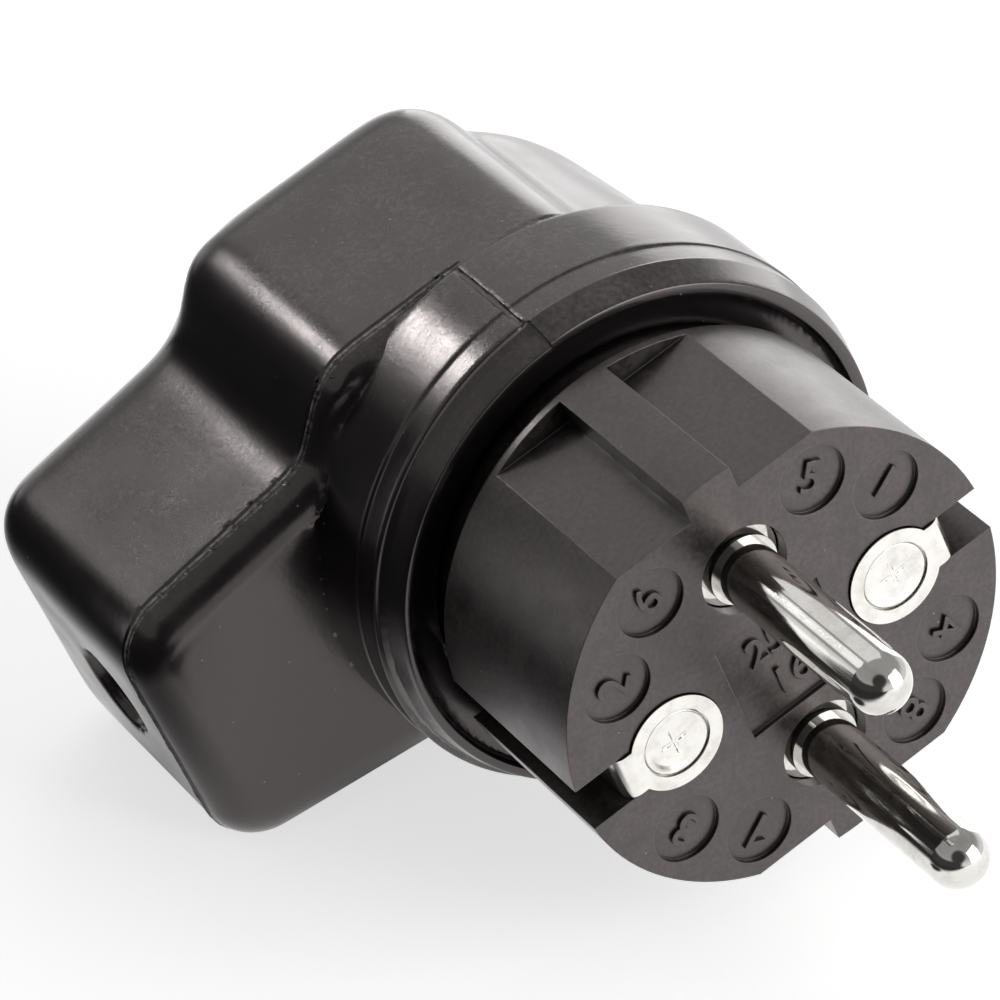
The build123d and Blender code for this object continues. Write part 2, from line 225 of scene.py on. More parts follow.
def makeThermoset():
    look = thermosetLook
    material, tree, shader, place = startMaterial("pressedGreyThermoset")
    mottle = addNode(tree, "ShaderNodeTexNoise", None, {
        "Vector": place, "Scale": perMm(look["mottleMm"]), "Detail": 5.0, "Roughness": 0.6})
    filler = addNode(tree, "ShaderNodeTexNoise", None, {
        "Vector": place, "Scale": perMm(look["fillerMm"]), "Detail": 2.0})
    mixed = addNode(tree, "ShaderNodeMath", times, {
        0: mottle.outputs[0], 1: filler.outputs[0]})
    shade = addNode(tree, "ShaderNodeMapRange", None, {
        "Value": mixed.outputs[0], "From Min": 0.16, "From Max": 0.36})
    specks = addSpecks(tree, place, *look["speckMm"])
    # Where the rounded normal leaves the true one there is an edge
    rounded = addNode(tree, "ShaderNodeBevel", {"samples": 6}, {"Radius": look["edgeMm"] * mm})
    normal = addNode(tree, "ShaderNodeNewGeometry").outputs["Normal"]
    along = addNode(tree, "ShaderNodeVectorMath", dotProduct, {
        0: rounded.outputs[0], 1: normal})
    edgeWearAndHighlight = addNode(tree, "ShaderNodeMapRange", None, {
        "Value": along.outputs["Value"], "From Min": 0.97, "From Max": 0.80,
        "To Min": 0.0, "To Max": 0.9})
    # The edge is lightened: partly wear, partly a painted highlight
    paleMark = addNode(tree, "ShaderNodeMath", times, {
        0: edgeWearAndHighlight.outputs[0], 1: mottle.outputs[0]})
    # Painted shade: the colour darkens where the surface is closed in, in corners and recesses
    openness = addNode(tree, "ShaderNodeAmbientOcclusion", {"samples": 8}, {
        "Distance": look["paintedShadeMm"] * mm})
    paintedShade = addNode(tree, "ShaderNodeMapRange", eased, {
        "Value": openness.outputs["AO"], "From Min": 0.95, "From Max": 0.60,
        "To Min": 0.0, "To Max": 1.0})
    body = addNode(tree, "ShaderNodeMix", colourMix, {
        0: shade.outputs[0], 6: hexColour(look["grey"]), 7: hexColour(look["mottle"])})
    body = addNode(tree, "ShaderNodeMix", colourMix, {
        0: paleMark.outputs[0], 6: body.outputs[2], 7: hexColour(look["edgeWearAndHighlight"])})
    body = addNode(tree, "ShaderNodeMix", colourMix, {
        0: paintedShade.outputs[0], 6: body.outputs[2], 7: hexColour(look["paintedShade"])})
    body = addNode(tree, "ShaderNodeMix", colourMix, {
        0: specks, 6: body.outputs[2], 7: hexColour(look["speck"])})
    smooth, dull = look["roughness"]
    gloss = addNode(tree, "ShaderNodeMapRange", None, {
        "Value": mottle.outputs[0], "From Min": 0.3, "From Max": 0.7,
        "To Min": smooth, "To Max": dull})
    bump = addNode(tree, "ShaderNodeBump", None, {
        "Height": filler.outputs[0], "Strength": look["bump"],
        "Distance": look["bumpMm"] * mm, "Normal": rounded.outputs[0]})
    tree.links.new(body.outputs[2], shader.inputs["Base Color"])
    tree.links.new(gloss.outputs[0], shader.inputs["Roughness"])
    tree.links.new(bump.outputs[0], shader.inputs["Normal"])
    shader.inputs["IOR"].default_value = look["ior"]
    shader.inputs["Specular Tint"].default_value = hexColour(look["shine"])
    return material


# Metals share one recipe: a tint, fine lines, drawn coarser than real ones to show, and
# handling marks. Bright nickel plate mirrors the room, with faint lines along the pin. Tumbled
# nickel plate gleams softly white, the same every way. Turned brass is yellow, with fine rings.
# Zinc plated steel is a cool, dull grey
metalLooks = {
    "brightNickelPlate": {"tint": "#cbc9c5", "dull": "#b4b1ac", "lineMm": (12.0, 0.15, 0.15),
                          "markMm": 1.8, "roughness": (0.06, 0.14), "bump": 0.03},
    "tumbledNickelPlate": {"tint": "#dcdad6", "dull": "#c4c1bb", "lineMm": (0.4, 0.4, 0.4),
                           "markMm": 1.5, "roughness": (0.16, 0.26), "bump": 0.05},
    "turnedBrass": {"tint": "#c9a35a", "dull": "#a07c3c", "lineMm": (0.15, 4.0, 4.0),
                    "markMm": 1.5, "roughness": (0.22, 0.38), "bump": 0.10},
    "zincPlatedSteel": {"tint": "#b9bcc0", "dull": "#94979b", "lineMm": (0.2, 0.2, 0.2),
                        "markMm": 1.0, "roughness": (0.28, 0.44), "bump": 0.10},
}
metalBumpMm = 0.03


def makeMetal(name):
    look = metalLooks[name]
    material, tree, shader, place = startMaterial(name)
    stretched = addNode(tree, "ShaderNodeMapping", None, {
        "Vector": place, "Scale": tuple(perMm(size) for size in look["lineMm"])})
    lines = addNode(tree, "ShaderNodeTexNoise", None, {
        "Vector": stretched.outputs[0], "Scale": 1.0, "Detail": 3.0})
    marks = addNode(tree, "ShaderNodeTexNoise", None, {
        "Vector": place, "Scale": perMm(look["markMm"]), "Detail": 5.0, "Roughness": 0.65})
    worn = addNode(tree, "ShaderNodeMapRange", None, {
        "Value": marks.outputs[0], "From Min": 0.45, "From Max": 0.75})
    colour = addNode(tree, "ShaderNodeMix", colourMix, {
        0: worn.outputs[0], 6: hexColour(look["tint"]), 7: hexColour(look["dull"])})
    bright, dull = look["roughness"]
    gloss = addNode(tree, "ShaderNodeMapRange", None, {
        "Value": lines.outputs[0], "From Min": 0.3, "From Max": 0.75,
        "To Min": bright, "To Max": dull})
    bump = addNode(tree, "ShaderNodeBump", None, {
        "Height": lines.outputs[0], "Strength": look["bump"], "Distance": metalBumpMm * mm})
    tree.links.new(colour.outputs[2], shader.inputs["Base Color"])
    tree.links.new(gloss.outputs[0], shader.inputs["Roughness"])
    tree.links.new(bump.outputs[0], shader.inputs["Normal"])
    shader.inputs["Metallic"].default_value = 1.0
    return material


rubber = makeRubber()
thermoset = makeThermoset()
metals = {name: makeMetal(name) for name in metalLooks}
finishes = {
    "contact_carrier": thermoset,
    "upper_pin": metals["brightNickelPlate"],
    "lower_pin": metals["brightNickelPlate"],
    "far_earth_contact": metals["tumbledNickelPlate"],
    "cable_side_earth_contact": metals["tumbledNickelPlate"],
    "far_earth_stud": metals["tumbledNickelPlate"],
    "cable_side_earth_stud": metals["tumbledNickelPlate"],
    "upper_terminal": metals["turnedBrass"],
    "lower_terminal": metals["turnedBrass"],
    "earth_bridge": metals["turnedBrass"],
    "earth_washer": metals["turnedBrass"],
    "cord_clamp_bar": metals["zincPlatedSteel"],
}
for name, node in nodes.items():
    if name == "housing":
        continue  # the soft hood below stands for it
    for place in node.material_slots:
        place.material = finishes.get(name, metals["zincPlatedSteel"])  # screws are steel
print("finishes on the kept nodes")


# The hood's soft skin: the moulding's sharp joins melt into each other behind the collar, the
# mould's two halves leave a ragged line, and nothing is quite flat
hoodShape = {
    "voxelMm": 0.35,
    "crispPasses": 2,
    "softPasses": 34,
    "softFromMm": (-30.6, -33.2),
    "inletMm": (-40.45, 5.0, 9.0, -33.5),  # cable's station, crisp out to, soft from, depth
    "innerShare": 0.10,  # of the points inside, where nobody looks, this share is kept
    "boreMm": (-34.2, -20.6, 19.85),  # inside the cup: back, front, radius
    "pocketMm": (-51.0, -33.6, -31.0, 10.4),  # inside hump and arm: back, front, and across
    "ceilingMm": (10.2, 2.7, 18.0, 18.5),  # the pocket's height, its fall, from where, how long
    "outsideMm": (18.6, 10.0, -51.0),  # outside: beyond this radius, this far across, behind
    "waveMm": (9.0, 0.05),
    "waveFromMm": (-31.0, -33.0),
    "shoulderMm": (1.3, 21.95, 14.6),  # fuller by this much, beyond this radius, above this
    "shoulderFadeMm": (0.6, 5.0),
    "seamMm": -32.1,
    "seamFarMm": 0.4,
    "seamFadeMm": 0.5,
    "cutMm": 0.004,  # points this near a cut are the cut's own
    "seamTear": 0.25,
    "seamWobbleMm": (1.6, 0.05),
    "rubbedPerMm": 5.0,
}
# Where the arm's flat front runs in under the collar: how near it the skin is set right, and
# how far it sinks before it bends forward
armCorner = {
    "frontMm": -28.9,
    "acrossMm": -12.0,
    "aheadMm": (-0.12, 1.0),
    "overMm": (-0.4, 0.9),
    "sinkMm": 0.6,
    "bendMm": 0.4,
    "flatMm": 0.002,
}
# Collar, nose, lip and mouth as turned in the mould, from the back of the collar round to the
# mouth: station, radius on the far side, radius on the cable side, where the lip is stepped
collarTurns = (
    (-31.20, 19.70, 19.70), (-31.20, 21.30, 21.30), (-31.17, 21.42, 21.42), (-30.78, 21.82, 21.82),
    (-30.68, 21.88, 21.88), (-30.50, 21.90, 21.90), (-23.86, 21.90, 21.90), (-23.76, 21.88, 21.88),
    (-23.70, 21.80, 21.80), (-23.60, 21.76, 21.76), (-23.45, 21.75, 21.75), (-21.56, 21.75, 21.75),
    (-21.46, 21.75, 21.70), (-21.40, 21.74, 21.50), (-21.34, 21.73, 21.30), (-21.22, 21.69, 21.21),
    (-19.06, 20.95, 20.65), (-18.96, 20.90, 20.60), (-18.90, 20.79, 20.50), (-18.90, 20.00, 20.00),
    (-18.93, 19.93, 19.93), (-19.02, 19.90, 19.90), (-20.08, 19.90, 19.90), (-20.16, 19.96, 19.96),
    (-20.60, 20.70, 20.70), (-30.60, 20.70, 20.70), (-31.20, 19.70, 19.70),
)
collarRing = {
    "radiusMm": 21.9,
    "crownMm": 21.5,  # the collar lies beyond this radius, and the nose beyond the next
    "noseMm": 20.75,
    "rowMm": 0.35,
    "waveMm": (1.7, 0.035),
    "around": 252,
    "seamMm": -0.48,
    "seamEndsMm": (-31.1, -21.5),
    "seamTear": 0.9,
    "seamWobbleMm": (0.9, 0.15),
    "seamTurns": (5.0, 0.5),  # degrees: columns this near are the seam's, and others keep off
    "partingMm": 0.03,
    "outerTurns": 24,  # of the turns above, these bound the skin
    "tuckMm": 0.12,  # the skin lies this much under the ring
    "tuckFadeMm": (0.40, 0.15),
    "tuckRimMm": (22.0, 0.08),
    "hiddenMm": (0.2, 21.93),
    "hiddenFacing": 0.97,
    "scuffTurns": (96.0, 138.0),
    "scuffEndsMm": (-22.8, -19.2),
    "scuffMm": 1.1,
    "scuffed": 1.6,
}
# Each unevenness has a place of its own in the noise
seeds = {"wave": 3.0, "seam": 5.0, "collarSeam": 6.0, "seamWobble": 11.0, "collarWobble": 13.0,
         "scuff": 21.0, "turning": 30.0}
tearShape = {"middle": 0.85, "coarseMm": 1.6, "coarse": 0.8, "fineMm": 0.6, "fine": 0.4,
             "fineSeed": 4.0, "most": 1.3}
# Across a seam, in millimetres: where the skin is cut, and how far it stands out there
seamSteps = ((-0.32, 0.0), (-0.14, -0.40), (0.04, 0.0), (0.26, 0.16), (0.58, 0.06), (0.80, 0.0))
collarSeamSteps = ((-0.28, 0.0), (-0.10, -0.45), (0.09, 0.0), (0.26, 0.17), (0.50, 0.0))


def bakedMesh(piece):
    bpy.context.view_layer.update()
    graph = bpy.context.evaluated_depsgraph_get()
    mesh = bpy.data.meshes.new_from_object(piece.evaluated_get(graph))
    piece.modifiers.clear()
    piece.data = mesh
    return mesh


def softenHood(points, edges, weight, passes):
    count = len(points)
    ends = np.concatenate([edges[:, 0], edges[:, 1]])
    others = np.concatenate([edges[:, 1], edges[:, 0]])
    shared = np.maximum(np.bincount(ends, minlength=count), 1)
    for _ in range(passes):
        middle = np.stack([np.bincount(ends, points[others, k], count) for k in range(3)], 1)
        points = points + (0.5 * weight)[:, None] * (middle / shared[:, None] - points)
    return points


def fillShoulder(points):
    # The rubber swells where the hump turns down to the arm
    fuller, radius, foot = hoodShape["shoulderMm"]
    out, up = hoodShape["shoulderFadeMm"]
    beyond = np.clip((np.hypot(points[:, 1], points[:, 2]) - radius) / out, 0, 1)
    above = np.clip((points[:, 2] - foot) / up, 0, 1)
    share = beyond * above * (points[:, 1] < 0)
    points[:, 1] -= fuller * share * share * (3 - 2 * share)
    return points


def tuckSkin(points, normals):
    # Under the turned ring the soft skin gives way a little
    ring = collarRing
    line = np.array([(station, far) for station, far, _ in collarTurns[:ring["outerTurns"]]])
    radius = np.hypot(points[:, 1], points[:, 2])
    place = np.stack([points[:, 0], radius], 1)
    nearest = np.full(len(points), np.inf)
    for start, end in zip(line, line[1:]):
        along = end - start
        share = np.clip(((place - start) @ along) / max(along @ along, 1e-9), 0, 1)
        gap = np.linalg.norm(place - start - share[:, None] * along, axis=1)
        nearest = np.minimum(nearest, gap)
    reach, fade = ring["tuckFadeMm"]
    rim, rimFade = ring["tuckRimMm"]
    under = np.clip((reach - nearest) / fade, 0, 1) * np.clip((rim - radius) / rimFade, 0, 1)
    facing = np.abs((points[:, 1:] * normals[:, 1:]).sum(1)) / np.maximum(radius, 1.0)
    close, within = ring["hiddenMm"]
    hidden = (nearest < close) & (facing > ring["hiddenFacing"]) & (radius < within)
    return flattenCorner(points - ring["tuckMm"] * under[:, None] * normals, radius), hidden


def flattenCorner(points, radius):
    # The arm's front stays flat until it is well under the ring
    corner, crown = armCorner, collarRing["radiusMm"]
    ahead = points[:, 0] - corner["frontMm"]
    over = radius - crown
    back, front = corner["aheadMm"]
    low, high = corner["overMm"]
    near = ((points[:, 1] < corner["acrossMm"]) & (ahead > back) & (ahead < front)
            & (over > low) & (over < high))
    flat = near & (over > ahead)
    sunk = near & ~flat
    points[flat, 0] = corner["frontMm"]
    depth = corner["sinkMm"] * (1 - np.clip(ahead[sunk], 0, 1))
    lower = crown - collarRing["tuckMm"] - depth
    points[sunk, 1:] *= (lower / np.hypot(points[sunk, 1], points[sunk, 2]))[:, None]
    bent = np.clip(ahead[sunk] - corner["bendMm"], 0, 1) ** 2
    points[sunk, 0] = corner["frontMm"] + bent
    return points


def makeHood():
    shape = hoodShape
    mesh = nodes["housing"].data.copy()
    mesh.transform(leanTurn.inverted())
    mesh.transform(Matrix.Scale(1 / mm, 4))  # work in millimetres, square to the plug
    hood = bpy.data.objects.new("rubberHood", mesh)
    bpy.context.scene.collection.objects.link(hood)
    remesh = hood.modifiers.new("skin", "REMESH")
    remesh.mode = "VOXEL"
    remesh.voxel_size = shape["voxelMm"]
    skin = bakedMesh(hood)
    points = np.empty(len(skin.vertices) * 3)
    skin.vertices.foreach_get("co", points)
    points = points.reshape(-1, 3)
    edges = np.empty(len(skin.edges) * 2, int)
    skin.edges.foreach_get("vertices", edges)
    edges = edges.reshape(-1, 2)
    front, back = shape["softFromMm"]
    soft = np.clip((front - points[:, 0]) / (front - back), 0, 1)
    station, crisp, free, depth = shape["inletMm"]
    off = np.hypot(points[:, 0] - station, points[:, 2])
    inlet = np.clip((off - crisp) / (free - crisp), 0, 1)
    soft = np.where(points[:, 1] < depth, np.minimum(soft, inlet), soft)
    soft = soft * soft * (3 - 2 * soft)
    points = softenHood(points, edges, np.ones(len(points)), shape["crispPasses"])
    points = softenHood(points, edges, soft, shape["softPasses"])
    points = fillShoulder(points)
    skin.vertices.foreach_set("co", points.ravel())
    skin.update()
    normals = np.empty(len(points) * 3, np.float32)
    skin.vertex_normals.foreach_get("vector", normals)
    points, under = tuckSkin(points, normals.reshape(-1, 3))
    skin.vertices.foreach_set("co", points.ravel())
    print("hood skin:", len(skin.vertices), "points")
    thinInside(hood, points, under)
    skin = hood.data
    cutSeams(skin)
    skin.transform(plugToFrame)
    points = np.empty(len(skin.vertices) * 3, np.float32)
    skin.vertices.foreach_get("co", points)
    points = np.clip(points.reshape(-1, 3), np.array(cadLow), np.array(cadHigh))
    skin.vertices.foreach_set("co", points.astype(np.float32).ravel())
    # The arm's front is one flat face, and is shaded flat
    corners = np.empty(len(skin.polygons) * 3, int)
    skin.polygons.foreach_get("vertices", corners)
    ahead = points[corners.reshape(-1, 3), 0] - armCorner["frontMm"] * mm
    skin.polygons.foreach_set("use_smooth", np.abs(ahead).max(1) > armCorner["flatMm"] * mm)
    skin.update()
    skin.materials.clear()
    skin.materials.append(rubber)
    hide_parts("housing")
    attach(hood, "root")


def thinInside(hood, points, under):
    # Only what doesn't show is thinned: the shine of the outside needs its even grid
    x, y, z = points.T
    back, front, reach = hoodShape["boreMm"]
    bore = (x > back) & (x < front) & (np.hypot(y, z) < reach)
    height, fall, start, length = hoodShape["ceilingMm"]
    ceiling = height - fall * np.clip((-y - start) / length, 0, 1)
    back, front, cableSide, farSide = hoodShape["pocketMm"]
    pocket = ((x > back) & (x < front) & (np.abs(z) < ceiling) & (y < farSide) & (y > cableSide))
    inside = np.nonzero(bore | pocket | under)[0]
    group = hood.vertex_groups.new(name="inside")
    group.add(inside.tolist(), 1.0, "REPLACE")
    thin = hood.modifiers.new("thin", "DECIMATE")
    thin.vertex_group = "inside"
    thin.vertex_group_factor = 1000.0
    thin.ratio = 1.0 - (1.0 - hoodShape["innerShare"]) * len(inside) / len(points)
    bakedMesh(hood)
    hood.vertex_groups.clear()
    print("hood inside thinned:", len(points), "points to", len(hood.data.vertices))


def ragged(point, size, seed):
    return noise.noise(Vector(point) / size + Vector((seed, 0.3 * seed, -seed)))


def tearAt(point, seed, rough):
    shape = tearShape
    coarse = shape["coarse"] * ragged(point, shape["coarseMm"], seed)
    fine = shape["fine"] * ragged(point, shape["fineMm"], seed + shape["fineSeed"])
    return min(max(shape["middle"] + rough * (coarse + fine), 0.0), shape["most"])


def collarRows():
    # Rows of the ring from station to station, with shallow dips along the collar
    ring = collarRing
    waveSize, waveDepth = ring["waveMm"]
    rows = []
    for start, end in zip(collarTurns, collarTurns[1:]):
        parts = 1
        if start[1] > ring["noseMm"] and end[1] > ring["noseMm"]:
            parts = max(1, round((end[0] - start[0]) / ring["rowMm"]))
        for k in range(parts):
            row = [a + (b - a) * k / parts for a, b in zip(start, end)]
            if min(row[1:]) > ring["crownMm"]:
                wave = ragged((row[0], 0, 0), waveSize, seeds["turning"])
                dip = waveDepth * (0.5 + 0.5 * wave)
                row = [row[0], row[1] - dip, row[2] - dip]
            rows.append(row)
    return rows


def collarColumns():
    # Angle from the top towards the cable, and how far the skin stands out there
    ring = collarRing
    seam, parting = ring["seamMm"], ring["partingMm"]
    heights = {seam + step: height for step, height in collarSeamSteps}
    turns = []
    for y in sorted([*heights, -parting, parting]):
        turns.append((math.degrees(math.asin(-y / ring["radiusMm"])), heights.get(y, 0.0)))
    first, last = max(turns)[0], min(turns)[0]
    pitch = 360 / ring["around"]
    for k in range(2, ring["around"] - 1):
        turns.append((k * pitch, 0.0))
    near, apart = ring["seamTurns"]
    return sorted((turn % 360, height) for turn, height in turns
                  if turn < near or turn > 360 - near or first + apart < turn < 360 + last - apart)


def turnCollar(grown, paleMark):
    ring = collarRing
    rows = collarRows()
    back, front = ring["seamEndsMm"]
    low, high = ring["scuffTurns"]
    scuffBack, scuffFront = ring["scuffEndsMm"]
    wobbleSize, wobble = ring["seamWobbleMm"]
    columns = []
    for turn, height in collarColumns():
        side = 2 if turn < 180 else 1
        away = Vector((0, -math.sin(math.radians(turn)), math.cos(math.radians(turn))))
        column = []
        for row in rows:
            co = Vector((row[0], 0, 0)) + away * row[side]
            worn = 0.0
            if height and back < row[0] < front and row[1] > ring["crownMm"]:
                co += away * height * tearAt(co, seeds["collarSeam"], ring["seamTear"])
                co.y += wobble * ragged(co, wobbleSize, seeds["collarWobble"])
                worn = max(0.0, hoodShape["rubbedPerMm"] * height)
            scuffs = low < turn < high and scuffBack < row[0] < scuffFront
            if scuffs and row[1] > ring["noseMm"]:
                worn = max(0.0, ring["scuffed"] * ragged(co, ring["scuffMm"], seeds["scuff"]))
            vertex = grown.verts.new(co)
            vertex[paleMark] = worn
            column.append(vertex)
        columns.append(column)
    for here, there in zip(columns, columns[1:] + columns[:1]):
        for k in range(len(rows)):
            after = (k + 1) % len(rows)
            grown.faces.new((here[k], there[k], there[after], here[after]))
    print("collar turned:", len(columns), "by", len(rows), "points")


def cutSeams(skin):
    shape = hoodShape
    grown = bmesh.new()
    grown.from_mesh(skin)
    for step, _ in seamSteps:
        bmesh.ops.bisect_plane(grown, geom=grown.verts[:] + grown.edges[:] + grown.faces[:],
                               plane_co=(shape["seamMm"] + step, 0, 0), plane_no=(1, 0, 0))
    grown.normal_update()
    paleMark = grown.verts.layers.float.new("paleMark")
    waveSize, waveHeight = shape["waveMm"]
    waveFront, waveBack = shape["waveFromMm"]
    wobbleSize, wobble = shape["seamWobbleMm"]
    reach, wide, behind = shape["outsideMm"]
    moves = []
    for vertex in grown.verts:
        co = vertex.co
        if math.hypot(co.y, co.z) <= reach and abs(co.y) <= wide and co.x >= behind:
            continue
        share = min(max((waveFront - co.x) / (waveFront - waveBack), 0.0), 1.0)
        move = vertex.normal * (waveHeight * share * ragged(co, waveSize, seeds["wave"]))
        for step, height in seamSteps:
            if abs(co.x - shape["seamMm"] - step) < shape["cutMm"] and co.y < shape["seamFarMm"]:
                fade = min(max((shape["seamFarMm"] - co.y) / shape["seamFadeMm"], 0.0), 1.0)
                tear = tearAt(co, seeds["seam"], shape["seamTear"])
                move += vertex.normal * height * fade * tear
                shift = wobble * ragged(co, wobbleSize, seeds["seamWobble"]) * fade
                move += Vector((shift, 0, 0))
                worn = shape["rubbedPerMm"] * height * fade
                vertex[paleMark] = max(vertex[paleMark], worn)
        moves.append((vertex, move))
    for vertex, move in moves:
        vertex.co += move
    turnCollar(grown, paleMark)
    bmesh.ops.triangulate(grown, faces=grown.faces[:])
    grown.to_mesh(skin)
    grown.free()
    print("hood seams cut:", len(skin.polygons), "triangles")


makeHood()

# Staked heads of the earth studs: a raised rim, a shallow dish that was spun down by the
# staking tool, and its small cross of nicks in the middle
studShape = {
    "nodes": {"far_earth_stud": 10.1, "cable_side_earth_stud": -10.1},
    "seatMm": -0.25,
    "profileMm": ((0.0, 0.14), (0.5, 0.14), (0.9, 0.12), (1.5, 0.13), (2.0, 0.20), (2.3, 0.30),
                  (2.48, 0.35), (2.62, 0.33), (2.69, 0.24), (2.70, 0.0)),
    "partsPerStep": 4,
    "shankMm": (1.5, 5.0),
    "around": 72,
    "nickMm": (0.28, 1.15, 0.10),  # wide, long from the middle, deep
}


def makeStuds():
    shape = studShape
    around = shape["around"]
    shankRadius, shankLength = shape["shankMm"]
    width, reach, deep = shape["nickMm"]
    line = []
    parts = shape["partsPerStep"]
    for (r0, h0), (r1, h1) in zip(shape["profileMm"], shape["profileMm"][1:]):
        line += [(r0 + (r1 - r0) * k / parts, h0 + (h1 - h0) * k / parts) for k in range(parts)]
    line += [shape["profileMm"][-1], (shankRadius, 0.0), (shankRadius, -shankLength)]
    for node, middle in shape["nodes"].items():
        body = bmesh.new()
        top = body.verts.new((shape["seatMm"] + line[0][1], middle, 0))
        rings = []
        for radius, height in line[1:]:
            ring = []
            for k in range(around):
                angle = 2 * math.pi * k / around
                y, z = radius * math.cos(angle), radius * math.sin(angle)
                dip = 0.0
                if height > 0 and radius < reach and min(abs(y), abs(z)) < width / 2:
                    dip = deep
                ring.append(body.verts.new((shape["seatMm"] + height - dip, middle + y, z)))
            rings.append(ring)
        for k in range(around):
            body.faces.new((top, rings[0][k], rings[0][(k + 1) % around]))
            for inner, outer in zip(rings, rings[1:]):
                body.faces.new((inner[k], outer[k], outer[(k + 1) % around],
                                inner[(k + 1) % around]))
        body.faces.new(reversed(rings[-1]))
        bmesh.ops.recalc_face_normals(body, faces=body.faces[:])
        bmesh.ops.transform(body, matrix=plugToFrame, verts=body.verts)
        mesh = bpy.data.meshes.new(node + "Head")
        body.to_mesh(mesh)
        body.free()
        for polygon in mesh.polygons:
            polygon.use_smooth = True
        mesh.materials.append(metals["tumbledNickelPlate"])
        stud = bpy.data.objects.new("staked_" + node, mesh)
        bpy.context.scene.collection.objects.link(stud)
        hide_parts(node)
        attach(stud, "root")
    print("earth studs staked")


makeStuds()

# Plain numerals stand in the marking fields, lower than the face so that nothing rubs them.
# The turns are the angles of the fields round the face, in degrees
numeralShape = {
    "circleMm": 14.5,
    "turns": (32.3, 59.6),
    "floorMm": -0.4,
    "riseMm": 0.24,
    "bevelMm": 0.04,
    "heightMm": 2.7,
    "plaqueHeightMm": 2.5,
    "fontPerHeight": 1.4,
    "curveSteps": 6,
    "plaqueLines": (("250", 1.9), ("16", -1.9)),
}


def makeNumerals():
    shape = numeralShape
    marks = []
    count = 1
    for turn in shape["turns"]:
        for angle in (turn, 180 - turn, 180 + turn, 360 - turn):
            y = shape["circleMm"] * math.cos(math.radians(angle))
            z = shape["circleMm"] * math.sin(math.radians(angle))
            marks.append((str(count), y, z, math.radians(angle) - math.pi / 2, shape["heightMm"]))
            count += 1
    for words, z in shape["plaqueLines"]:
        marks.append((words, 0.0, z, 0.0, shape["plaqueHeightMm"]))
    whole = bmesh.new()
    # Flat lettering faces +Z and reads along +X: stand it up to face the pins
    stand = Matrix(((0, 0, 1, 0), (1, 0, 0, 0), (0, 1, 0, 0), (0, 0, 0, 1)))
    for words, y, z, turn, height in marks:
        curve = bpy.data.curves.new("numeral", "FONT")
        curve.body = words
        curve.size = height * shape["fontPerHeight"]
        curve.extrude = shape["riseMm"] / 2
        curve.bevel_depth = shape["bevelMm"]
        curve.resolution_u = shape["curveSteps"]
        curve.align_x = "CENTER"
        curve.align_y = "CENTER"
        holder = bpy.data.objects.new("numeral", curve)
        bpy.context.scene.collection.objects.link(holder)
        bpy.context.view_layer.update()
        flat = bpy.data.meshes.new_from_object(
            holder.evaluated_get(bpy.context.evaluated_depsgraph_get()))
        flat.transform(Matrix.Rotation(turn, 4, "Z"))
        flat.transform(Matrix.Translation((y, z, shape["floorMm"] + shape["riseMm"] / 2)))
        whole.from_mesh(flat)
        bpy.data.objects.remove(holder)
        bpy.data.curves.remove(curve)
        bpy.data.meshes.remove(flat)
    mesh = bpy.data.meshes.new("faceNumerals")
    bmesh.ops.transform(whole, matrix=plugToFrame @ stand, verts=whole.verts)
    whole.to_mesh(mesh)
    whole.free()
    numerals = bpy.data.objects.new("faceNumerals", mesh)
    bpy.context.scene.collection.objects.link(numerals)
    mesh.materials.append(thermoset)
    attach(numerals, "root")
    print("face numerals:", len(mesh.polygons), "faces")


makeNumerals()

# White paper sweep, matt: the camera sees it white but for the plug's soft shadow. In mirrors it
# fades towards the dark left of the room, under the arm and beside the collar
floorLook = {
    "white": "#e6e6e6",
    "roughness": 0.9,
    "reach": 2.0,
    "seen": (0.67, 1.0),  # glow near the plug and far off, for the camera
    "farM": (0.12, 0.45),
    "mirrored": (0.1, 1.0),
    "fadeMm": (-50.0, -26.0),
    "darkMm": (-64.0, -34.0),
    "shadesMm": (((-42.0, -19.0), (9.0, 17.0)), ((6.0, -35.0), (10.0, 17.0))),  # core and rim
    "darkest": 0.04,
}


